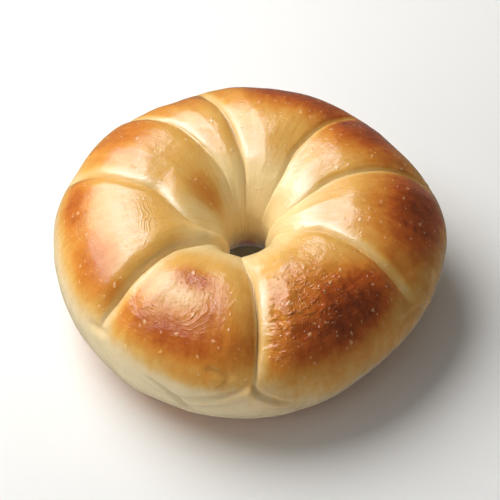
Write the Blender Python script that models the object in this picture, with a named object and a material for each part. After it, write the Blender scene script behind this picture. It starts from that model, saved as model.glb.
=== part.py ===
"""A ring-shaped dinner roll: one piece of soft dough, pinched across into eight lobes and joined round a small hole.

Metres, +Z up. The origin is the middle of the roll's footprint, on the surface that it rests on.
The two lobes that meet at the front face -Y, and the hole runs along Z.
"""

import math
from collections import namedtuple

import bpy
from mathutils import Vector, noise

# The dough tube, bent into a ring. Heights are from the tube's widest level.
RING_RADIUS = 0.0293  # middle of the hole to the middle of the tube
TUBE_HALF_WIDTH = 0.0221
CROWN_HEIGHT = 0.0195
BELLY_DEPTH = 0.0200
BELLY_SQUARENESS = 2.15  # exponent of the section below the widest level, where 2 is round
BASE_FLATTENED = 0.0016  # how much of the belly the baking tray has pressed flat

# Seen from above, the ring is a very soft triangle.
PLAN_SWELL = 0.034  # share of the radius
PLAN_SWELL_TURN = math.radians(18.6)

# A lobe and the crease that it starts at, counterclockwise from +X. Angles are in degrees round the ring.
# lean: how far the crease turns on its way from the hole to the rim. bow: how far its middle bends aside.
# hook: how far its inner end turns. depth: of the crease at the crown. foot: the section angle, up from the
# widest level, where it runs out. out, up, in_hole: how far the lobe swells past the plain tube at the rim, the
# crown and the hole. first_flank, last_flank: how wide the lobe slopes down to its own crease and to the next
# one, each followed by the power of that slope.
Lobe = namedtuple(
    "Lobe", "start lean bow hook depth foot out up in_hole first_flank first_power last_flank last_power"
)
STRAIGHT = 1.15
ROUNDED = 2.0
LOBES = (
    Lobe(-24.2, -12.4, -2.3, -8.0, 0.0032, 8.0, 0.0021, 0.0, 0.0012, 0.0090, STRAIGHT, 0.0085, STRAIGHT),
    Lobe(15.2, 1.0, 2.0, -9.0, 0.0024, 5.0, -0.0008, 0.0, 0.0006, 0.0080, ROUNDED, 0.0080, STRAIGHT),
    Lobe(49.8, -4.0, 2.5, -7.0, 0.0026, 21.0, 0.0025, 0.0003, 0.0008, 0.0100, ROUNDED, 0.0080, STRAIGHT),
    Lobe(97.2, 19.0, 0.0, -4.0, 0.0026, 20.0, -0.0021, -0.0005, 0.0018, 0.0050, ROUNDED, 0.0075, STRAIGHT),
    Lobe(122.0, 22.0, 0.0, -4.0, 0.0024, 13.0, -0.0023, 0.0, 0.0034, 0.0060, ROUNDED, 0.0090, STRAIGHT),
    Lobe(169.6, -15.0, -2.5, 36.0, 0.0028, 8.0, 0.0007, -0.0012, 0.0022, 0.0050, ROUNDED, 0.0060, ROUNDED),
    Lobe(221.5, 3.0, 0.0, 9.0, 0.0034, 9.0, -0.0002, -0.0018, -0.0022, 0.0090, STRAIGHT, 0.0080, ROUNDED),
    Lobe(272.5, 2.5, 3.2, -4.0, 0.0038, 10.0, 0.0014, -0.0006, -0.0022, 0.0080, STRAIGHT, 0.0050, ROUNDED),
)
FULL_TURN = 360.0

# A crease lies between two sloping flanks, with a narrow pinch at its bottom.
HOOKED = (0.25, 0.85)  # shares of the way from the tube's middle to the hole over which a crease's end turns
PINCH_REACH = 0.0015
PINCH_SHARE_OF_LOBE = 0.60  # of half the lobe's width, which is what limits it near the hole
PINCH_PART = 0.25  # of the crease's depth
FOOT_RISE = 40.0  # degrees of section from the foot up to full depth
HOLE_FADE = (95.0, 195.0)  # degrees of section over which a crease dies away down the hole
NARROW_RADIUS = 0.0220  # creases are shallower where the ring is narrower than this

# Seams low on the skirt, where the lobes' lower edges were tucked under, and folds pressed into the lobes.
# Each end is (degrees round, section degrees). bow: how many degrees the middle bends to the left of its way.
Seam = namedtuple("Seam", "start end bow depth")
SEAMS = (
    Seam((-88.0, 19.0), (-108.0, -4.0), 3.0, 0.0010),
    Seam((-87.0, 19.0), (-74.0, -8.0), -3.0, 0.0009),
    Seam((-93.0, 22.0), (-101.0, 29.0), -2.0, 0.0008),
    Seam((-120.0, 6.0), (-106.0, -24.0), 6.0, 0.0010),
    Seam((-133.0, 18.0), (-142.0, 14.0), -1.0, 0.0005),
    Seam((-78.5, 70.0), (-75.0, 50.0), 0.0, 0.0008),
    Seam((-34.0, 12.0), (-22.0, -12.0), 3.0, 0.0009),
    Seam((22.0, 14.0), (33.0, -14.0), -3.0, 0.0009),
    Seam((54.0, 18.0), (43.0, -18.0), 3.0, 0.0010),
    Seam((104.0, 18.0), (92.0, -14.0), 3.0, 0.0010),
    Seam((156.0, 14.0), (170.0, -14.0), -3.0, 0.0009),
)
SEAM_REACH = 0.0032
SEAM_STEPS = 12

# Slow unevenness of hand-shaped dough, which the tray has pressed out of the underside.
LUMP_HEIGHT = 0.0005
LUMP_SIZE = 0.0150
LUMP_FADE = (-60.0, -25.0)  # section degrees

# The mesh: columns round the ring, closer together at the creases, and rows round the section, closer together
# on the outer half of the crown.
RING_STEPS = 144
SECTION_STEPS = 40
CREASE_CROWDING = 0.55
ROW_CROWDING = 0.40
ROW_CROWDING_TURN = math.radians(50.0)

CRUST_COLOUR = (0.60, 0.30, 0.085, 1.0)
CRUST_ROUGHNESS = 0.35


def signed_power(value, power):
    return math.copysign(abs(value) ** power, value)


def smooth_step(low, high, value):
    share = min(max((value - low) / (high - low), 0.0), 1.0)
    return share * share * (3.0 - 2.0 * share)


def fall_off(distance, reach):
    """1 at no distance, falling to 0 at the reach."""
    return max(1.0 - distance / reach, 0.0) ** 2


def tube_offset(section):
    """How far the plain section stands out from the tube's middle, outwards and upwards, at a section angle."""
    across, rise = math.cos(section), math.sin(section)
    if rise >= 0.0:
        return TUBE_HALF_WIDTH * across, CROWN_HEIGHT * rise
    power = 2.0 / BELLY_SQUARENESS
    return TUBE_HALF_WIDTH * signed_power(across, power), BELLY_DEPTH * signed_power(rise, power)


def crease_angle(number, outward_share):
    """Degrees round the ring of a lobe's first crease. The outward share is -1 at the hole and 1 at the rim."""
    lobe = LOBES[number % len(LOBES)]
    turns = number // len(LOBES)
    bend = lobe.bow * (1.0 - outward_share**2) + lobe.hook * smooth_step(*HOOKED, -outward_share)
    return lobe.start + FULL_TURN * turns + 0.5 * lobe.lean * outward_share + bend


def crease_depth(number, section_degrees, radius):
    """Depth of a lobe's first crease. The section runs from -90 degrees below, over the crown, to 270 below."""
    lobe = LOBES[number % len(LOBES)]
    rise = smooth_step(lobe.foot, lobe.foot + FOOT_RISE, section_degrees)
    fade = 1.0 - smooth_step(*HOLE_FADE, section_degrees)
    return lobe.depth * rise * fade * min(radius / NARROW_RADIUS, 1.0)


def dip(depth, distance, flank, power, half_width):
    sloped = max(1.0 - distance / min(flank, half_width), 0.0) ** power
    pinched = fall_off(distance, min(PINCH_REACH, PINCH_SHARE_OF_LOBE * half_width))
    return depth * ((1.0 - PINCH_PART) * sloped + PINCH_PART * pinched)


def swollen(number, share):
    """How far the lobes swell outwards, upwards and into the hole. Each fades into the next across the crease."""
    own, neighbour = LOBES[number], LOBES[(number + (1 if share > 0.5 else -1)) % len(LOBES)]
    own_share = 0.5 + 0.5 * math.sin(math.pi * share)
    pairs = ((own.out, neighbour.out), (own.up, neighbour.up), (own.in_hole, neighbour.in_hole))
    return [own_share * mine + (1.0 - own_share) * theirs for mine, theirs in pairs]


def plain_point(ring, section, sunk=0.0, out=0.0, up=0.0, in_hole=0.0):
    """A point of the roll at two angles, sunk towards the tube's middle and swollen as the lobes say."""
    outward, upward = tube_offset(section)
    kept = 1.0 - sunk / math.hypot(outward, upward)
    across, rise = math.cos(section), math.sin(section)
    outward, upward = outward * kept, upward * kept
    into_hole = max(-across, 0.0) * (1.0 - 0.3 * max(rise, 0.0))
    outward += out * max(across, 0.0) - in_hole * into_hole
    upward += up * max(rise, 0.0)
    radius = (RING_RADIUS + outward) * (1.0 + PLAN_SWELL * math.cos(3.0 * (ring - PLAN_SWELL_TURN)))
    height = BELLY_DEPTH + upward - BASE_FLATTENED
    return Vector((radius * math.cos(ring), radius * math.sin(ring), height))


def seam_points(seam):
    """The seam's route over the plain roll, as points."""
    (ring_0, section_0), (ring_1, section_1) = seam.start, seam.end
    length = math.hypot(ring_1 - ring_0, section_1 - section_0)
    aside = ((section_0 - section_1) / length, (ring_1 - ring_0) / length)
    points = []
    for step in range(SEAM_STEPS + 1):
        share = step / SEAM_STEPS
        bend = seam.bow * 4.0 * share * (1.0 - share)
        ring = ring_0 + share * (ring_1 - ring_0) + bend * aside[0]
        section = section_0 + share * (section_1 - section_0) + bend * aside[1]
        points.append(plain_point(math.radians(ring), math.radians(section)))
    return points


def seam_sunk(point, seams):
    """How far the seams sink the surface at this point. They die away towards both ends."""
    deepest = 0.0
    for seam, route in seams:
        for step, waypoint in enumerate(route):
            distance = (point - waypoint).length
            if distance < SEAM_REACH:
                ends = 1.0 - (2.0 * step / SEAM_STEPS - 1.0) ** 4
                groove = (1.0 - (distance / SEAM_REACH) ** 2) ** 2
                deepest = max(deepest, seam.depth * ends * groove)
    return deepest


def lobe_columns():
    """For each column of the mesh, the number of its lobe and the share of the way across it."""
    columns = []
    for number, lobe in enumerate(LOBES):
        ends = (crease_angle(number, 0.0), crease_angle(number + 1, 0.0))
        first, last = (round((end - crease_angle(0, 0.0)) / FULL_TURN * RING_STEPS) for end in ends)
        for column in range(first, last):
            share = (column - first) / (last - first)
            crowded = share - CREASE_CROWDING * math.sin(2.0 * math.pi * share) / (2.0 * math.pi)
            columns.append((number, crowded))
    return columns


def roll_point(number, share, section, seams):
    """The finished surface, at a share of the way across a lobe and a section angle."""
    lobe = LOBES[number]
    section_degrees = (math.degrees(section) + 90.0) % FULL_TURN - 90.0
    outward_share = tube_offset(section)[0] / TUBE_HALF_WIDTH
    radius = RING_RADIUS + outward_share * TUBE_HALF_WIDTH
    first, last = crease_angle(number, outward_share), crease_angle(number + 1, outward_share)
    width = math.radians(last - first) * radius
    first_depth = crease_depth(number, section_degrees, radius)
    last_depth = crease_depth(number + 1, section_degrees, radius)
    sunk = dip(first_depth, share * width, lobe.first_flank, lobe.first_power, width / 2.0)
    sunk += dip(last_depth, (1.0 - share) * width, lobe.last_flank, lobe.last_power, width / 2.0)
    ring = math.radians(first + share * (last - first))
    point = plain_point(ring, section, sunk, *swollen(number, share))
    lumps = LUMP_HEIGHT * smooth_step(*LUMP_FADE, section_degrees) * noise.noise(point / LUMP_SIZE)
    sunk += seam_sunk(plain_point(ring, section), seams) - lumps
    point = plain_point(ring, section, sunk, *swollen(number, share))
    point.z = max(point.z, 0.0)
    return point


def crust_material():
    material = bpy.data.materials.new("baked_crust")
    material.use_nodes = True
    shader = material.node_tree.nodes["Principled BSDF"]
    shader.inputs["Base Color"].default_value = CRUST_COLOUR
    shader.inputs["Roughness"].default_value = CRUST_ROUGHNESS
    shader.inputs["Metallic"].default_value = 0.0
    material.diffuse_color = CRUST_COLOUR
    return material


def shape_roll(mesh):
    """Moves each vertex of the torus to its place on the roll."""
    columns = lobe_columns()
    seams = [(seam, seam_points(seam)) for seam in SEAMS]
    for vertex in mesh.vertices:
        x, y, z = vertex.co
        column = round(math.atan2(y, x) / math.tau * RING_STEPS) % RING_STEPS
        turn = math.atan2(z, math.hypot(x, y) - RING_RADIUS)
        section = turn + ROW_CROWDING * math.cos(turn + ROW_CROWDING_TURN)
        vertex.co = roll_point(*columns[column], section, seams)


def stand_on_origin(mesh):
    """Slides the roll sideways until the middle of its footprint is the origin."""
    for axis in (0, 1):
        values = [vertex.co[axis] for vertex in mesh.vertices]
        middle = (min(values) + max(values)) / 2.0
        for vertex in mesh.vertices:
            vertex.co[axis] -= middle


def main():
    for leftover in list(bpy.data.objects):
        bpy.data.objects.remove(leftover)
    collection = bpy.data.collections.new("ring_dinner_roll")
    bpy.context.scene.collection.children.link(collection)

    bpy.ops.mesh.primitive_torus_add(
        major_segments=RING_STEPS,
        minor_segments=SECTION_STEPS,
        major_radius=RING_RADIUS,
        minor_radius=TUBE_HALF_WIDTH,
    )
    roll = bpy.context.object
    roll.name = "ring_roll"
    for home in list(roll.users_collection):
        home.objects.unlink(roll)
    collection.objects.link(roll)

    shape_roll(roll.data)
    stand_on_origin(roll.data)
    roll.data.shade_smooth()
    roll.data.materials.append(crust_material())


main()
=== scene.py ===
import math
from collections import namedtuple

import bmesh
import bpy
import numpy as np
from mathutils import Matrix, Vector, noise


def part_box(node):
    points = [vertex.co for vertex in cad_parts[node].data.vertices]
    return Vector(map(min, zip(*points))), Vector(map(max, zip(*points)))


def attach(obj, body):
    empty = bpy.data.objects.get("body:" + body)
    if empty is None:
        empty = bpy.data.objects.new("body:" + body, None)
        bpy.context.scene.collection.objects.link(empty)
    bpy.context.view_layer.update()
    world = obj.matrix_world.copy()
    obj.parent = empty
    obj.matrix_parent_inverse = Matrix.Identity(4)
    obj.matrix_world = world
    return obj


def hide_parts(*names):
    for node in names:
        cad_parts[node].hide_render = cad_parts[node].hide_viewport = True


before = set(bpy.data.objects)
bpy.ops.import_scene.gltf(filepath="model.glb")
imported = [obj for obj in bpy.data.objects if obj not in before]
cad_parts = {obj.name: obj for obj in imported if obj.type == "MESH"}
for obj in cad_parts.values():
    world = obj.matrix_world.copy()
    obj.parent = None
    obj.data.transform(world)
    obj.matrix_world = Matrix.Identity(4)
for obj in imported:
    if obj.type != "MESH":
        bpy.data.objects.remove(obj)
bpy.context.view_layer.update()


# ---- The shaped dough ----
# One rope of soft white dough, closed round a finger's width of hole and pressed across into eight lobes.
# It proves and bakes as one piece, so it is one closed skin: a round section spun round the hole, whose
# points are then moved to where the dough swelled, was pinched, or was pressed flat by the tray.

roll_low, roll_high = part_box("ring_roll")
mm = (roll_high.x - roll_low.x) / 105.1  # the roll is 105.1 mm wide, and everything on it is sized to that

RING_RADIUS = 29.3 * mm  # middle of the hole to the middle of the tube
TUBE_HALF_WIDTH = 22.1 * mm
CROWN_HEIGHT = 19.5 * mm  # above the tube's widest level
BELLY_DEPTH = 20.0 * mm  # below it
BELLY_SQUARENESS = 2.15
BASE_FLATTENED = 1.6 * mm
PLAN_CORNERS = 3  # from above, the ring is a very soft triangle
PLAN_SWELL = 0.034
PLAN_SWELL_TURN = math.radians(18.6)

# A lobe and the crease that it starts at, in millimetres and degrees, counterclockwise round the ring from
# +X. lean and bow: how the crease turns and bends on its way from the hole to the rim. hook: how far its
# inner end turns. foot: the section angle, up from the widest level, where it runs out. out, up, in_hole: how
# far the lobe swells past the plain tube. first_flank, last_flank: how wide the lobe slopes down to its own
# crease and to the next one, each followed by the power of that slope.
Lobe = namedtuple(
    "Lobe", "start lean bow hook depth foot out up in_hole first_flank first_power last_flank last_power"
)
STRAIGHT = 1.15
ROUNDED = 2.0
LOBES = (
    Lobe(-24.2, -12.4, -2.3, -8.0, 3.2, 8.0, 2.1, 0.0, 1.2, 9.0, STRAIGHT, 8.5, STRAIGHT),
    Lobe(15.2, 1.0, 2.0, -9.0, 2.4, 5.0, -0.8, 0.0, 0.6, 8.0, ROUNDED, 8.0, STRAIGHT),
    Lobe(49.8, -4.0, 2.5, -7.0, 2.6, 21.0, 2.5, 0.3, 0.8, 10.0, ROUNDED, 8.0, STRAIGHT),
    Lobe(97.2, 19.0, 0.0, -4.0, 2.6, 20.0, -2.1, -0.5, 1.8, 5.0, ROUNDED, 7.5, STRAIGHT),
    Lobe(122.0, 22.0, 0.0, -4.0, 2.4, 13.0, -2.3, 0.0, 3.4, 6.0, ROUNDED, 9.0, STRAIGHT),
    Lobe(169.6, -15.0, -2.5, 36.0, 2.8, 8.0, 0.7, -1.2, 2.2, 5.0, ROUNDED, 6.0, ROUNDED),
    Lobe(221.5, 3.0, 0.0, 9.0, 3.4, 9.0, -0.2, -1.8, -2.2, 9.0, STRAIGHT, 8.0, ROUNDED),
    Lobe(272.5, 2.5, 3.2, -4.0, 3.8, 10.0, 1.4, -0.6, -2.2, 8.0, STRAIGHT, 5.0, ROUNDED),
)
FULL_TURN = 360.0
HOOKED = (0.25, 0.85)  # shares of the way from the tube's middle to the hole over which a crease's end turns
PINCH_REACH = 1.5 * mm  # at its bottom a crease is pinched in
PINCH_SHARE_OF_LOBE = 0.60  # and no wider than this share of half a lobe
PINCH_PART = 0.25  # of the crease's depth
FOOT_RISE = 40.0  # section degrees from a crease's foot to its full depth
HOLE_FADE = (95.0, 195.0)  # section degrees over which a crease dies away down the hole
NARROW_RADIUS = 22.0 * mm  # nearer the middle of the hole than this, creases are shallower
CREST_EASE = 0.3  # the top of a lobe swells less into the hole, by this share

RING_STEPS = 556
SECTION_STEPS = 178
CREASE_CROWDING = 0.35  # columns stand closer at the creases, and rows on the outer half of the crown
ROW_CROWDING = 0.40
ROW_CROWDING_TURN = math.radians(50.0)


def smooth_step(low, high, value):
    share = np.clip((value - low) / (high - low), 0.0, 1.0)
    return share * share * (3.0 - 2.0 * share)


def wrapped(degrees):
    """The same angle, from -180 to 180."""
    return (degrees + FULL_TURN / 2.0) % FULL_TURN - FULL_TURN / 2.0


def fall_off(distance, reach):
    """1 at no distance, falling to 0 at the reach."""
    return np.maximum(1.0 - distance / reach, 0.0) ** 2


def lobes_of(numbers):
    """The lobes of these numbers, as one Lobe of arrays. Past the last lobe comes the first again."""
    return Lobe(*np.array(LOBES)[numbers % len(LOBES)].T)


def tube_offset(section):
    """How far the plain section stands out from the tube's middle, outwards and upwards."""
    across, rise = np.cos(section), np.sin(section)
    above = rise >= 0.0
    power = np.where(above, 1.0, 2.0 / BELLY_SQUARENESS)
    outward = TUBE_HALF_WIDTH * np.sign(across) * np.abs(across) ** power
    upward = np.where(above, CROWN_HEIGHT, BELLY_DEPTH) * np.sign(rise) * np.abs(rise) ** power
    return outward, upward


def crease_angle(numbers, outward_share):
    """Degrees round the ring of each lobe's first crease. outward_share: -1 at the hole, 1 at the rim."""
    lobe = lobes_of(numbers)
    bend = lobe.bow * (1.0 - outward_share**2) + lobe.hook * smooth_step(*HOOKED, -outward_share)
    return lobe.start + FULL_TURN * (numbers // len(LOBES)) + 0.5 * lobe.lean * outward_share + bend


def crease_depth(numbers, section_degrees, radius):
    lobe = lobes_of(numbers)
    rise = smooth_step(lobe.foot, lobe.foot + FOOT_RISE, section_degrees)
    fade = 1.0 - smooth_step(*HOLE_FADE, section_degrees)
    return lobe.depth * mm * rise * fade * np.minimum(radius / NARROW_RADIUS, 1.0)


def dip(depth, distance, flank, power, half_width):
    sloped = np.maximum(1.0 - distance / np.minimum(flank * mm, half_width), 0.0) ** power
    pinched = fall_off(distance, np.minimum(PINCH_REACH, PINCH_SHARE_OF_LOBE * half_width))
    return depth * ((1.0 - PINCH_PART) * sloped + PINCH_PART * pinched)


def tube_points(ring, section, sunk=0.0, out=0.0, up=0.0, in_hole=0.0):
    """Points of the roll at two angles, sunk towards the tube's middle and swollen as the lobes say."""
    outward, upward = tube_offset(section)
    kept = 1.0 - sunk / np.hypot(outward, upward)
    across, rise = np.cos(section), np.sin(section)
    outward, upward = outward * kept, upward * kept
    into_hole = np.maximum(-across, 0.0) * (1.0 - CREST_EASE * np.maximum(rise, 0.0))
    outward = outward + mm * (out * np.maximum(across, 0.0) - in_hole * into_hole)
    upward = upward + mm * up * np.maximum(rise, 0.0)
    radius = (RING_RADIUS + outward) * (1.0 + PLAN_SWELL * np.cos(PLAN_CORNERS * (ring - PLAN_SWELL_TURN)))
    height = BELLY_DEPTH + upward - BASE_FLATTENED
    return np.stack([radius * np.cos(ring), radius * np.sin(ring), height], axis=-1)


# The spun skin, still a plain torus. A quarter of it is spun and then repeated, which is ten times as fast as
# spinning it all.
skin = bmesh.new()
bmesh.ops.create_circle(skin, segments=SECTION_STEPS, radius=TUBE_HALF_WIDTH)
stand_up = Matrix.Translation((RING_RADIUS, 0.0, 0.0)) @ Matrix.Rotation(math.radians(90.0), 4, "X")
bmesh.ops.transform(skin, matrix=stand_up, verts=skin.verts)
HUB = {"cent": (0.0, 0.0, 0.0), "axis": (0.0, 0.0, 1.0)}
QUARTER = math.tau / 4.0
SAME_POINT = 0.01 * mm
bmesh.ops.spin(skin, geom=skin.verts[:] + skin.edges[:], angle=QUARTER, steps=RING_STEPS // 4, **HUB)
whole_quarter = skin.verts[:] + skin.edges[:] + skin.faces[:]
bmesh.ops.spin(skin, geom=whole_quarter, angle=3.0 * QUARTER, steps=3, use_duplicate=True, **HUB)
bmesh.ops.remove_doubles(skin, verts=skin.verts, dist=SAME_POINT)
bmesh.ops.recalc_face_normals(skin, faces=skin.faces)
for face in skin.faces:
    face.smooth = True
crust_mesh = bpy.data.meshes.new("baked_ring_roll")
skin.to_mesh(crust_mesh)
skin.free()

# Each point gets its column round the ring and its place in the section, then the lobe that it belongs to and
# its place in that lobe.
torus = np.empty(3 * len(crust_mesh.vertices), np.float32)
crust_mesh.vertices.foreach_get("co", torus)
x, y, z = torus.astype(float).reshape(-1, 3).T
column = np.rint(np.arctan2(y, x) / math.tau * RING_STEPS).astype(int) % RING_STEPS
turn = np.arctan2(z, np.hypot(x, y) - RING_RADIUS)
section = turn + ROW_CROWDING * np.cos(turn + ROW_CROWDING_TURN)
section_degrees = (np.degrees(section) + 90.0) % FULL_TURN - 90.0  # from below, over the crown, into the hole

creases = crease_angle(np.arange(len(LOBES) + 1), 0.0)
lobe_ends = np.rint((creases - creases[0]) / FULL_TURN * RING_STEPS)
lobe_number = np.searchsorted(lobe_ends, column, side="right") - 1
column_share = (column - lobe_ends[lobe_number]) / (lobe_ends[lobe_number + 1] - lobe_ends[lobe_number])
across_lobe = column_share - CREASE_CROWDING * np.sin(math.tau * column_share) / math.tau

outward_share = tube_offset(section)[0] / TUBE_HALF_WIDTH
tube_radius = RING_RADIUS + outward_share * TUBE_HALF_WIDTH
first_crease = crease_angle(lobe_number, outward_share)
last_crease = crease_angle(lobe_number + 1, outward_share)
ring_degrees = first_crease + across_lobe * (last_crease - first_crease)
ring = np.radians(ring_degrees)
ring_degrees = wrapped(ring_degrees)
lobe_width = np.radians(last_crease - first_crease) * tube_radius
to_first = across_lobe * lobe_width
to_last = (1.0 - across_lobe) * lobe_width
first_depth = crease_depth(lobe_number, section_degrees, tube_radius)
last_depth = crease_depth(lobe_number + 1, section_degrees, tube_radius)
own = lobes_of(lobe_number)
creased = dip(first_depth, to_first, own.first_flank, own.first_power, lobe_width / 2.0)
creased += dip(last_depth, to_last, own.last_flank, own.last_power, lobe_width / 2.0)

# A lobe's swelling fades into its neighbour's across the crease between them.
neighbour = lobes_of(lobe_number + np.where(across_lobe < 0.5, -1, 1))
own_share = 0.5 + 0.5 * np.sin(math.pi * across_lobe)
swellings = ((own.out, neighbour.out), (own.up, neighbour.up), (own.in_hole, neighbour.in_hole))
swollen = [own_share * here + (1.0 - own_share) * beside for here, beside in swellings]


def shaped(raised):
    """The roll's points with this much relief raised on the pinched dough."""
    points = tube_points(ring, section, creased - raised, *swollen)
    points[:, 2] = np.maximum(points[:, 2], 0.0)
    return points


# ---- Relief of the crust ----
# The skin of the dough tightens as it bakes: it keeps the unevenness of a hand-shaped roll, seams where the
# lobes' lower edges were tucked under, folds and dents from fingers, and wrinkles round the lobes' crowns.
# All of it is relief in the one skin.

LUMPS = ((15.0, 0.50), (6.5, 0.16), (2.6, 0.035))  # size and height, in millimetres
LUMP_FADE = (-60.0, -25.0)  # section degrees over which they fade to where the tray has pressed them out


def noise_at(points, size):
    """Smooth noise from -1 to 1, of this size in millimetres."""
    return np.array([noise.noise(point) for point in points / (size * mm)])


plain = shaped(np.zeros(len(ring)))
off_tray = smooth_step(*LUMP_FADE, section_degrees)
relief = sum(height * mm * noise_at(plain, size) for size, height in LUMPS) * off_tray

# A crease ends in a thin slit where the two lobes' skins meet, deeper here and shallower there.
SLIT_REACH = 0.6 * mm
SLIT_DEPTH = 0.20  # share of the crease's own depth
SLIT_LENGTH = 7.0  # of its deeper and shallower stretches, in millimetres
slit_openness = np.clip(0.6 + 0.8 * noise_at(plain, SLIT_LENGTH), 0.0, 1.0)
for distance, depth in ((to_first, first_depth), (to_last, last_depth)):
    relief -= SLIT_DEPTH * depth * slit_openness * fall_off(distance, SLIT_REACH)

# Seams and folds. Each end is (degrees round, section degrees), and bow bends the middle to the left of its
# way. In millimetres, reach is half the width of the groove, and lip how far the skin bulges beside it, on
# the left of its way where side is 1 and on the right where it is -1.
Seam = namedtuple("Seam", "start end bow depth reach lip side")
SEAMS = (
    Seam((-88.0, 19.0), (-108.0, -4.0), 3.0, 0.9, 1.3, 0.5, 1.0),
    Seam((-87.0, 19.0), (-74.0, -8.0), -3.0, 0.8, 1.3, 0.4, -1.0),
    Seam((-93.0, 22.0), (-101.0, 29.0), -2.0, 0.8, 1.9, 0.4, 1.0),
    Seam((-120.0, 6.0), (-106.0, -24.0), 6.0, 1.0, 0.8, 0.7, -1.0),
    Seam((-133.0, 18.0), (-142.0, 14.0), -1.0, 0.5, 1.8, 0.3, 1.0),
    Seam((-78.5, 70.0), (-75.0, 50.0), 0.0, 0.7, 1.6, 0.5, 1.0),
    Seam((-34.0, 12.0), (-22.0, -12.0), 3.0, 0.8, 1.4, 0.4, 1.0),
    Seam((22.0, 14.0), (33.0, -14.0), -3.0, 0.8, 1.4, 0.4, -1.0),
    Seam((54.0, 18.0), (43.0, -18.0), 3.0, 0.9, 1.4, 0.4, 1.0),
    Seam((104.0, 18.0), (92.0, -14.0), 3.0, 0.9, 1.4, 0.4, 1.0),
    Seam((156.0, 14.0), (170.0, -14.0), -3.0, 0.8, 1.4, 0.4, -1.0),
)
SEAM_STEPS = 12
LIP_AWAY = 1.5  # reaches from the groove to the top of the bulge beside it
LIP_RISE = (0.2, 1.0)  # reaches over which the bulge starts
GROOVE_POWER = 1.5  # 1 would be a plain V


def seam_route(seam):
    """The seam's way over the plain roll, as points, and the way to its left at each step."""
    start, end = np.array(seam.start), np.array(seam.end)
    share = np.linspace(0.0, 1.0, SEAM_STEPS + 1)[:, None]
    aside = np.array([start[1] - end[1], end[0] - start[0]]) / np.linalg.norm(end - start)
    bowed = seam.bow * 4.0 * share * (1.0 - share) * aside
    ring_on, section_on = np.radians(start + share * (end - start) + bowed).T
    route = tube_points(ring_on, section_on)
    outwards = route - RING_RADIUS * np.stack([np.cos(ring_on), np.sin(ring_on), 0.0 * ring_on], axis=-1)
    outwards[:, 2] -= BELLY_DEPTH - BASE_FLATTENED
    return route, np.cross(outwards[:-1], route[1:] - route[:-1])


def beside_route(points, route, lefts):
    """Each point's distance from the route, below 0 on its right, and how far along the route that is."""
    nearest = np.full(len(points), np.inf)
    along = np.zeros(len(points))
    side = np.ones(len(points))
    for step, (start, end) in enumerate(zip(route[:-1], route[1:])):
        run = end - start
        share = np.clip((points - start) @ run / (run @ run), 0.0, 1.0)
        distance = np.linalg.norm(points - start - share[:, None] * run, axis=1)
        closer = distance < nearest
        nearest = np.where(closer, distance, nearest)
        along = np.where(closer, (step + share) / (len(route) - 1), along)
        side = np.where(closer, np.sign((points - start) @ lefts[step]), side)
    return nearest * side, along


uncreased = tube_points(ring, section)
for seam in SEAMS:
    distance, along = beside_route(uncreased, *seam_route(seam))
    reaches = distance / (seam.reach * mm)
    away = np.abs(reaches)
    ends = 1.0 - (2.0 * along - 1.0) ** 4
    groove = np.maximum(1.0 - away, 0.0) ** GROOVE_POWER
    bulge = np.exp(-((away - LIP_AWAY) ** 2)) * smooth_step(*LIP_RISE, seam.side * reaches)
    relief += ends * mm * (seam.lip * bulge - seam.depth * groove)

# Wrinkles lie in arcs round a lobe's crown, where the glazed skin shrank. The arcs follow an oval: ring and
# section are its middle, wide and tall its half lengths, in degrees round and section degrees. facing: where
# on the oval they lie, from 0 on its side towards the next lobe to 90 towards the hole. spread: how many
# degrees they go on to both sides of that.
Wrinkled = namedtuple("Wrinkled", "lobe ring section wide tall facing spread")
WRINKLED = (
    Wrinkled(5, -168.0, 75.0, 19.0, 21.0, 60.0, 38.0),
    Wrinkled(5, -168.0, 72.0, 20.0, 20.0, -100.0, 45.0),
    Wrinkled(6, -125.0, 72.0, 19.0, 19.0, -40.0, 80.0),
    Wrinkled(7, -77.0, 66.0, 9.0, 30.0, 0.0, 60.0),
)
WRINKLE_HEIGHT = 0.030 * mm
WRINKLE_LENGTH = 1.9 * mm
WRINKLE_BAND = 0.30  # how far from the oval they still show, as a share of its size
WANDER_LENGTH = 3.2  # millimetres
WANDER = 0.9 * mm  # how far they stray from their arcs
GAP_LENGTH = 5.0  # of the gaps in them, in millimetres
GAP_EDGE = (-0.25, 0.25)  # noise over which a gap closes
GAPS_APART = 40.0 * mm  # keeps the noise of the gaps off that of the straying
SECTION_RADIUS = 20.8 * mm  # of the tube all round, on average


def away_from(patch):
    """How far each point lies from the patch's middle, round the ring and up the section, in half lengths."""
    return wrapped(ring_degrees - patch.ring) / patch.wide, (section_degrees - patch.section) / patch.tall


wrinkle_phase = np.zeros(len(ring))
wrinkled = np.zeros(len(ring))
wander = WANDER * noise_at(plain, WANDER_LENGTH)
unbroken = smooth_step(*GAP_EDGE, noise_at(plain + GAPS_APART, GAP_LENGTH))
for patch in WRINKLED:
    round_way, up_way = away_from(patch)
    reach = np.hypot(round_way, up_way)
    off_side = wrapped(np.degrees(np.arctan2(up_way, round_way)) - patch.facing)
    strength = np.exp(-(((reach - 1.0) / WRINKLE_BAND) ** 2)) * np.exp(-((off_side / patch.spread) ** 2))
    strength *= unbroken * (lobe_number == patch.lobe)
    phase = reach * math.radians(patch.tall) * SECTION_RADIUS + wander
    wrinkle_phase = np.where(strength > wrinkled, phase, wrinkle_phase)
    wrinkled = np.maximum(wrinkled, strength)
relief += WRINKLE_HEIGHT * wrinkled * np.sin(math.tau * wrinkle_phase / WRINKLE_LENGTH)
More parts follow.
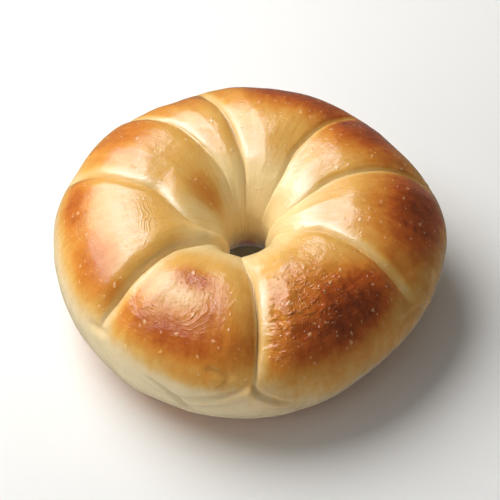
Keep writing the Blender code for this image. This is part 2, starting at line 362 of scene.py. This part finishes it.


# ---- Bake of the crust ----
# White dough brushed with egg: it browns first where it stands highest and nearest the oven's roof, and stays
# pale in the creases, low on the skirt and down the hole. Bake runs from 0, raw cream, to 1, dark brown. The
# bake also carries painted light: a painted highlight on the crease flanks that face the key light, and
# painted shade on the front-right skirt.

# A browned patch: its middle and its half lengths, in degrees round the ring and section degrees, and how far
# it goes from the bake round it to dark brown. The one on the front-right skirt is partly painted shade.
Patch = namedtuple("Patch", "ring section wide tall bake")
BROWNED_AND_SHADED = (
    Patch(-62.0, 60.0, 24.0, 34.0, 0.41),
    Patch(-47.0, 48.0, 18.0, 23.0, 0.68),
    Patch(-64.0, 34.0, 22.0, 16.0, 0.40),
    # the front-right skirt, away from the key light: partly browning, partly painted shade
    Patch(-44.0, 0.0, 44.0, 26.0, 0.36),
    Patch(40.0, 2.0, 44.0, 26.0, 0.25),
    Patch(120.0, 2.0, 44.0, 26.0, 0.20),
    Patch(-2.0, 48.0, 22.0, 31.0, 0.76),
    Patch(38.0, 58.0, 17.0, 30.0, 0.66),
    Patch(70.0, 52.0, 24.0, 26.0, 0.68),
    Patch(112.0, 50.0, 12.0, 22.0, 0.30),
    Patch(142.0, 56.0, 16.0, 30.0, 0.40),
    Patch(147.0, 140.0, 26.0, 21.0, 0.50),
    Patch(178.0, 44.0, 14.0, 16.0, 0.50),
    Patch(-154.0, 46.0, 14.0, 20.0, 0.40),
    Patch(-112.0, 46.0, 26.0, 20.0, 0.54),
    Patch(-113.0, 90.0, 12.0, 9.0, 0.50),
    Patch(-101.0, 74.0, 7.0, 13.0, 0.34),
    Patch(-105.0, 19.0, 13.0, 8.0, 0.20),
    Patch(-160.0, 136.0, 14.0, 13.0, 0.26),
    Patch(82.0, 205.0, 26.0, 14.0, 0.60),
)
GOLDEN = 0.40  # bake of the crown between the patches
GOLDEN_FROM = (-12.0, 46.0)  # section degrees
GOLDEN_TO = (105.0, 150.0)
THROAT_BAKE = 0.07  # down the hole
THROAT_FROM = (110.0, 150.0)
SKIRT_BAKE = 0.14
SKIRT_TOP = 60.0
UNDERSIDE_BAKE = 0.5  # from the hot tray
UNDERSIDE_FROM = (-20.0, -45.0)
RAGGED = ((6.0, 0.22), (2.2, 0.12))  # size, in millimetres, and strength of what makes a patch's edge uneven
PATCH_EDGE = 1.3  # above 1, a patch is evener inside and ends more sharply

# How far a lobe's flank stays pale, in millimetres from its first crease and from its last. The dough is pale
# in a crease, and the flank that faces the key light is made wider: its paleness there is painted highlight.
PALE_AND_HIGHLIT_FLANKS = ((3.0, 2.0), (0.8, 2.0), (0.8, 2.5), (0.8, 2.5), (0.8, 3.5), (1.2, 1.5), (3.5, 1.2), (3.5, 1.2))
PALE_EDGE = (0.2, 1.2)  # shares of that distance over which it browns
PALENESS_AND_HIGHLIGHT = 0.5
FULL_CREASE = 2.0 * mm  # a crease this deep has fully pale flanks

crown = smooth_step(*GOLDEN_FROM, section_degrees) * (1.0 - smooth_step(*GOLDEN_TO, section_degrees))
bake = GOLDEN * crown + THROAT_BAKE * smooth_step(*THROAT_FROM, section_degrees)
bake += SKIRT_BAKE * (1.0 - crown) * (section_degrees < SKIRT_TOP)
ragged = 1.0 + sum(strength * noise_at(plain, size) for size, strength in RAGGED)
for patch in BROWNED_AND_SHADED:
    round_way, up_way = away_from(patch)
    share = patch.bake * np.exp(-(((round_way**2 + up_way**2) * ragged) ** PATCH_EDGE))
    bake = bake + (1.0 - bake) * share
pale_first, pale_last = np.array(PALE_AND_HIGHLIT_FLANKS)[lobe_number].T * mm
pale = np.maximum(
    smooth_step(0.0, FULL_CREASE, first_depth) * (1.0 - smooth_step(*PALE_EDGE, to_first / pale_first)),
    smooth_step(0.0, FULL_CREASE, last_depth) * (1.0 - smooth_step(*PALE_EDGE, to_last / pale_last)),
)
# Paler crease flanks: unbaked dough in the crease, and on the lit side partly painted highlight.
bake = bake * (1.0 - PALENESS_AND_HIGHLIGHT * pale)
underside = smooth_step(*UNDERSIDE_FROM, section_degrees)
bake = bake + (UNDERSIDE_BAKE - bake) * underside

# The crust blisters and crinkles where it has browned most, above all on the lobe that lay nearest the heat.
# On each lobe that gets less from the first crease to the last.
BLISTERED_FROM = (0.3, 0.66)  # bake
BLISTERED_ABOVE = ((20.0, 40.0), (15.0, 55.0))  # section degrees over which it sets in, in two slopes
BLISTERED_LOBES = np.array((0.08, 0.05, 0.05, 0.05, 0.10, 0.22, 0.35, 1.0))
BLISTERED_AT_LAST = 0.1  # share of it that is left at the last crease
CRINKLE_STRETCH = 1.3  # crinkles are a little longer round the ring than across it
CRINKLE_SIZE = 2.6  # millimetres
CRINKLE_RISE = 0.46 * mm
LOBES_APART = 20.0 * mm  # crinkles don't run on from one lobe to the next
blistered = smooth_step(*BLISTERED_FROM, bake) * BLISTERED_LOBES[lobe_number]
blistered *= 1.0 - across_lobe + BLISTERED_AT_LAST
for section_rise in BLISTERED_ABOVE:
    blistered *= smooth_step(*section_rise, section_degrees)
crinkle = np.stack([
    RING_RADIUS * ring / CRINKLE_STRETCH,
    SECTION_RADIUS * np.radians(section_degrees),
    LOBES_APART * lobe_number,
], axis=-1)
relief += CRINKLE_RISE * blistered * noise_at(crinkle, CRINKLE_SIZE)

crust_points = shaped(relief)
middle = (crust_points.max(axis=0) + crust_points.min(axis=0)) / 2.0
solid_middle = (roll_low + roll_high) / 2.0
crust_points[:, :2] += np.array(solid_middle)[:2] - middle[:2]
crust_mesh.vertices.foreach_set("co", crust_points.astype(np.float32).ravel())
crust_mesh.update()

baked_roll = bpy.data.objects.new("baked_ring_roll", crust_mesh)
bpy.context.scene.collection.objects.link(baked_roll)

# What the finish reads from the skin. The grain runs down the section: it is six times as long as it is wide.
GRAIN_STRETCH = 6.0
SKIRT_FADE = (5.0, 40.0)  # section degrees over which the skirt becomes the crown
THROAT_FADE = (105.0, 140.0)  # and the crown the wall of the hole
grain = np.stack([
    RING_RADIUS * np.cos(ring),
    RING_RADIUS * np.sin(ring),
    SECTION_RADIUS * np.radians(section_degrees) / GRAIN_STRETCH,
], axis=-1) / mm
# The bake also carries a painted highlight on the lit crease flanks and painted shade on the front-right
# skirt.
skin_values = {
    "bake": bake,
    "skirt": 1.0 - smooth_step(*SKIRT_FADE, section_degrees),
    "throat": smooth_step(*THROAT_FADE, section_degrees),
    "underside": underside,
    "wrinkle_phase": wrinkle_phase / mm,
    "wrinkled": wrinkled,
    "blistered": blistered,
}
for name, values in skin_values.items():
    layer = crust_mesh.attributes.new(name, "FLOAT", "POINT")
    layer.data.foreach_set("value", values.astype(np.float32))
for name, places in (("grain", grain), ("crinkle", crinkle / mm)):
    layer = crust_mesh.attributes.new(name, "FLOAT_VECTOR", "POINT")
    layer.data.foreach_set("vector", places.astype(np.float32).ravel())


# ---- Finish of the crust ----
# Baked dough brushed with egg: it goes from cream to dark brown with the bake, and shines most where it has
# browned. The crust's finest marks are made here: specks, bubbles, thin wrinkles, stretch lines and pores.


class Finish:
    """A value in a material's nodes. Sums on it add the Math nodes that work them out."""

    def __init__(self, tree, socket=None):
        self.tree = tree
        self.socket = socket

    def node(self, kind, settings=None, values=None, out=0):
        """A new node: its settings are set first, then each of its sockets gets its value or its link."""
        made = self.tree.nodes.new(kind)
        for name, setting in (settings or {}).items():
            if name == "stops":
                self.set_stops(made.color_ramp, setting)
            else:
                setattr(made, name, setting)
        for name, value in (values or {}).items():
            if isinstance(value, Finish):
                self.tree.links.new(value.socket, made.inputs[name])
            else:
                made.inputs[name].default_value = value
        return Finish(self.tree, made.outputs[out] if made.outputs else None)

    def set_stops(self, ramp, stops):
        """Set a ramp's stops. A new ramp has two already."""
        for position, _ in stops[2:]:
            ramp.elements.new(position)
        for element, (position, tone) in zip(ramp.elements, stops):
            element.position = position
            element.color = tone

    def maths(self, operation, first, second=0.0):
        return self.node("ShaderNodeMath", {"operation": operation}, {0: first, 1: second})

    def __add__(self, other):
        return self.maths("ADD", self, other)

    def __sub__(self, other):
        return self.maths("SUBTRACT", self, other)

    def __mul__(self, other):
        return self.maths("MULTIPLY", self, other)

    def __rsub__(self, other):
        return self.maths("SUBTRACT", other, self)

    __radd__ = __add__
    __rmul__ = __mul__

    def beside(self, out):
        """Another output of the same node."""
        return Finish(self.tree, self.socket.node.outputs[out])

    def clamped(self, low=0.0, high=1.0):
        return self.node("ShaderNodeClamp", {}, {"Value": self, "Min": low, "Max": high})

    def fitted(self, low, high):
        """0 at low and below, 1 at high and above, and smooth between."""
        settings = {"interpolation_type": "SMOOTHSTEP"}
        return self.node("ShaderNodeMapRange", settings, {"Value": self, "From Min": low, "From Max": high})

    def read(self, name, out="Fac"):
        return self.node("ShaderNodeAttribute", {"attribute_name": name}, out=out)

    def noise(self, place, scale, detail=2.0, roughness=0.5):
        values = {"Vector": place, "Scale": scale, "Detail": detail, "Roughness": roughness}
        return self.node("ShaderNodeTexNoise", {}, values)

    def tinted(self, share, tint):
        """This colour, taken towards another by a share."""
        values = {0: share, 6: self, 7: tint}
        return self.node("ShaderNodeMix", {"data_type": "RGBA"}, values, out=2)


def colour(red, green, blue):
    """A colour given as 0 to 255 on a screen, as the linear values that a shader takes."""
    def linear(value):
        share = value / 255.0
        return share / 12.92 if share <= 0.04045 else ((share + 0.055) / 1.055) ** 2.4
    return (linear(red), linear(green), linear(blue), 1.0)


BAKE_COLOURS = (  # bake, and the crust's colour at it
    (0.00, colour(238, 218, 174)),
    (0.18, colour(230, 198, 136)),
    (0.40, colour(226, 172, 84)),
    (0.58, colour(212, 133, 48)),
    (0.74, colour(180, 85, 24)),
    (0.88, colour(128, 54, 12)),
    (1.00, colour(92, 34, 7)),
)
THROAT_CREAM = colour(240, 210, 142)
THROAT_STREAK = colour(206, 160, 88)
SKIRT_CREAM = colour(240, 225, 188)
SPECK_TOP_AND_GLINT = colour(255, 210, 148)
BUBBLE_TOP_AND_GLINT = colour(240, 150, 76)

crust = bpy.data.materials.new("glazed_crust")
crust.use_nodes = True
crust.node_tree.nodes.clear()
glaze = Finish(crust.node_tree)
object_place = glaze.node("ShaderNodeTexCoord", out="Object")
in_millimetres = {0: object_place, "Scale": 1.0 / mm}
place = glaze.node("ShaderNodeVectorMath", {"operation": "SCALE"}, in_millimetres)
grain_place = glaze.read("grain", out="Vector")
baked = glaze.read("bake")
skirt = glaze.read("skirt")
throat = glaze.read("throat")

# Patterns are scaled in repeats to the millimetre. The bake is mottled, and streaked along the grain.
mottle = glaze.noise(place, 0.45, detail=3.0) - 0.5
fine_mottle = glaze.noise(place, 1.4, detail=2.0) - 0.5
streaks = glaze.noise(grain_place, 0.7, detail=3.0, roughness=0.6) - 0.5
browned = (baked + baked * (0.22 * mottle + 0.12 * fine_mottle) + 0.18 * streaks).clamped()
crust_colour = glaze.node("ShaderNodeValToRGB", {"stops": BAKE_COLOURS}, {"Fac": browned})
still_pale = 1.0 - browned.fitted(0.15, 0.5)
crust_colour = crust_colour.tinted(0.65 * throat * still_pale, THROAT_CREAM)
crust_colour = crust_colour.tinted((1.1 * streaks).clamped() * throat, THROAT_STREAK)
crust_colour = crust_colour.tinted(0.70 * skirt * still_pale, SKIRT_CREAM)

# Specks are scattered all over, and bubbles crowd where the crust is blistered. Both stand in the cells of an
# uneven net, one in each chosen cell, and both are paler at their tops: partly thinner crust, partly painted
# glints of the key light.
NET_PULLED = (1.6, 1.6, 1.6)  # millimetres by which the net is pulled about
pull = glaze.node("ShaderNodeTexNoise", {}, {"Vector": place, "Scale": 0.9, "Detail": 2.0}, out="Color")
pulled = {0: pull, 1: NET_PULLED, 2: place}
uneven_place = glaze.node("ShaderNodeVectorMath", {"operation": "MULTIPLY_ADD"}, pulled)


def raised_spots(cells, narrowness, chosen):
    """Spots, 1 at their tops. cells: how many to the millimetre. chosen: the share of them with a spot.

    Each cell's colour is drawn by lot: its red chooses the cell, and its green sizes the spot.
    """
    net = {"Vector": uneven_place, "Scale": cells}
    from_middle = glaze.node("ShaderNodeTexVoronoi", {"feature": "F1"}, net, out="Distance")
    lots = {"Color": from_middle.beside("Color")}
    choosing = glaze.node("ShaderNodeSeparateColor", {}, lots, out="Red")
    sizing = glaze.node("ShaderNodeSeparateColor", {}, lots, out="Green")
    spot = (1.0 - narrowness * (1.6 - sizing) * from_middle).clamped()
    return spot * (choosing + chosen).fitted(0.98, 1.02)


blisters = glaze.read("blistered")
specks = raised_spots(0.75, 3.0, 0.09 + 0.20 * browned.fitted(0.35, 0.65))
bubbles = raised_spots(1.15, 2.3, 0.60 * blisters - 0.04)
# Paler tops of specks and bubbles: partly the crust's own colour, partly painted glints.
crust_colour = crust_colour.tinted(0.70 * specks, SPECK_TOP_AND_GLINT)
crust_colour = crust_colour.tinted(0.35 * bubbles, BUBBLE_TOP_AND_GLINT)

# Thin raised wrinkles run twice as close as the mesh's own, and along them.
fine_wrinkles = 2.0 * math.tau * mm / WRINKLE_LENGTH
wrinkle_wave = glaze.maths("SINE", glaze.read("wrinkle_phase") * fine_wrinkles)
wrinkle_lines = wrinkle_wave.fitted(0.2, 0.95) * glaze.read("wrinkled")
stretch_lines = glaze.noise(grain_place, 1.6, detail=3.0, roughness=0.65)
crinkles = glaze.noise(glaze.read("crinkle", out="Vector"), 0.55).fitted(0.45, 0.75) * blisters
unevenness = glaze.noise(uneven_place, 0.42, detail=3.0, roughness=0.6)
pores = glaze.noise(place, 3.0, roughness=0.6)
marks = (  # how high each stands, in millimetres
    (0.16, specks),
    (0.22, bubbles),
    (0.10, wrinkle_lines),
    (0.08, stretch_lines),
    (0.34, crinkles),
    (0.19, unevenness),
    (0.035, pores),
)
fine_relief = sum(height * mark for height, mark in marks)
bump_values = {"Strength": 1.0, "Distance": mm, "Height": fine_relief}
bumped = glaze.node("ShaderNodeBump", {}, bump_values, out="Normal")

# The egg shines most where it has browned. The underside got none, and is dull.
glazed = baked.fitted(0.1, 0.6)
unbrushed = glaze.read("underside")
surface_shader = glaze.node("ShaderNodeBsdfPrincipled", {}, {
    "Base Color": crust_colour,
    "Roughness": 0.26 - 0.11 * glazed + 0.4 * unbrushed,
    "Specular IOR Level": 0.5,
    "Normal": bumped,
})
glaze.node("ShaderNodeOutputMaterial", {}, {"Surface": surface_shader})
crust_mesh.materials.append(crust)

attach(baked_roll, "root")
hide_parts("ring_roll")


# ---- The table ----
# A plain sheet of pale matt paper, laid flat under the roll and far wider than what shows of it.
# It lights the roll from below, but isn't mirrored in the glaze, where it would be a milky veil.
TABLE_HALF_WIDTH = 2.0
table = bmesh.new()
bmesh.ops.create_grid(table, x_segments=1, y_segments=1, size=TABLE_HALF_WIDTH)
table_mesh = bpy.data.meshes.new("paper_table")
table.to_mesh(table_mesh)
table.free()
paper_table = bpy.data.objects.new("paper_table", table_mesh)
bpy.context.scene.collection.objects.link(paper_table)

paper = bpy.data.materials.new("white_paper")
paper.use_nodes = True
paper.node_tree.nodes.clear()
sheet = Finish(paper.node_tree)
paper_place = sheet.node("ShaderNodeTexCoord", out="Object")
fibre = sheet.noise(paper_place, 180.0, detail=3.0)
paper_shader = sheet.node("ShaderNodeBsdfPrincipled", {}, {
    "Base Color": (0.88, 0.88, 0.87, 1.0),
    "Roughness": 0.85 + 0.1 * fibre,
    "Specular IOR Level": 0.0,
})
sheet.node("ShaderNodeOutputMaterial", {}, {"Surface": paper_shader})
table_mesh.materials.append(paper)
paper_table.visible_glossy = False


# ---- Studio light ----
# A wide oval softbox stands high at the back left, a weak one low at the front left, and a dim sky all round.
# The highlights of the first come from two more in its place, a small one and a large one, so that they fade
# towards their edges.
roll_middle = Vector((0.0, 0.0, roll_high.z / 2.0))


def softbox(name, azimuth, height, distance, size, radiance, tint=(1.0, 1.0, 1.0)):
    """An oval softbox facing the roll.

    azimuth: degrees from straight behind the roll, towards its right. height: degrees up from the table.
    """
    lamp = bpy.data.lights.new(name, "AREA")
    lamp.shape = "ELLIPSE"
    lamp.size, lamp.size_y = size
    area = math.pi / 4.0 * size[0] * size[1]
    lamp.energy = radiance * math.pi * area
    lamp.color = tint
    light = bpy.data.objects.new(name, lamp)
    side, up = math.radians(azimuth), math.radians(height)
    way = Vector((math.sin(side) * math.cos(up), math.cos(side) * math.cos(up), math.sin(up)))
    light.location = roll_middle + distance * way
    light.rotation_euler = way.to_track_quat("Z", "Y").to_euler()
    bpy.context.scene.collection.objects.link(light)
    return light


KEY_PLACE = (-55.0, 52.0, 0.55)
key = softbox("key_softbox", *KEY_PLACE, (0.64, 0.44), 5.8, (1.0, 0.985, 0.97))
key.visible_glossy = False
for name, size, radiance in (("key_sheen", (0.50, 0.34), 10.0), ("key_halo", (0.67, 0.47), 27.0)):
    sheen = softbox(name, *KEY_PLACE, size, radiance, (0.79, 0.87, 1.0))
    sheen.visible_diffuse = False
fill = softbox("left_fill", -125.0, 18.0, 1.2, (1.2, 0.9), 1.4)
fill.visible_glossy = False

SKY_STRENGTH = 0.15
sky = bpy.data.worlds.new("studio_sky")
sky.use_nodes = True
background = sky.node_tree.nodes["Background"]
background.inputs["Color"].default_value = (1.0, 1.0, 1.0, 1.0)
background.inputs["Strength"].default_value = SKY_STRENGTH
bpy.context.scene.world = sky
bpy.context.scene.view_settings.view_transform = "Standard"


# ---- Camera ----
# It stands in front of the roll and looks down on it, about halfway between level and straight down, through
# a long lens from a good half metre away.
CAMERA_ELEVATION = math.radians(49.0)
CAMERA_DISTANCE = 567.0 * mm
CAMERA_LENS = 152.7  # millimetres, on a sensor of 36
CAMERA_AIM = Vector((0.04 * mm, -0.61 * mm, 0.453 * roll_high.z))
camera_lens = bpy.data.cameras.new("camera")
camera_lens.sensor_width = 36.0
camera_lens.lens = CAMERA_LENS
camera = bpy.data.objects.new("camera", camera_lens)
towards_camera = Vector((0.0, -math.cos(CAMERA_ELEVATION), math.sin(CAMERA_ELEVATION)))
camera.location = CAMERA_AIM + CAMERA_DISTANCE * towards_camera
camera.rotation_euler = (math.radians(90.0) - CAMERA_ELEVATION, 0.0, 0.0)
bpy.context.scene.collection.objects.link(camera)
bpy.context.scene.camera = camera
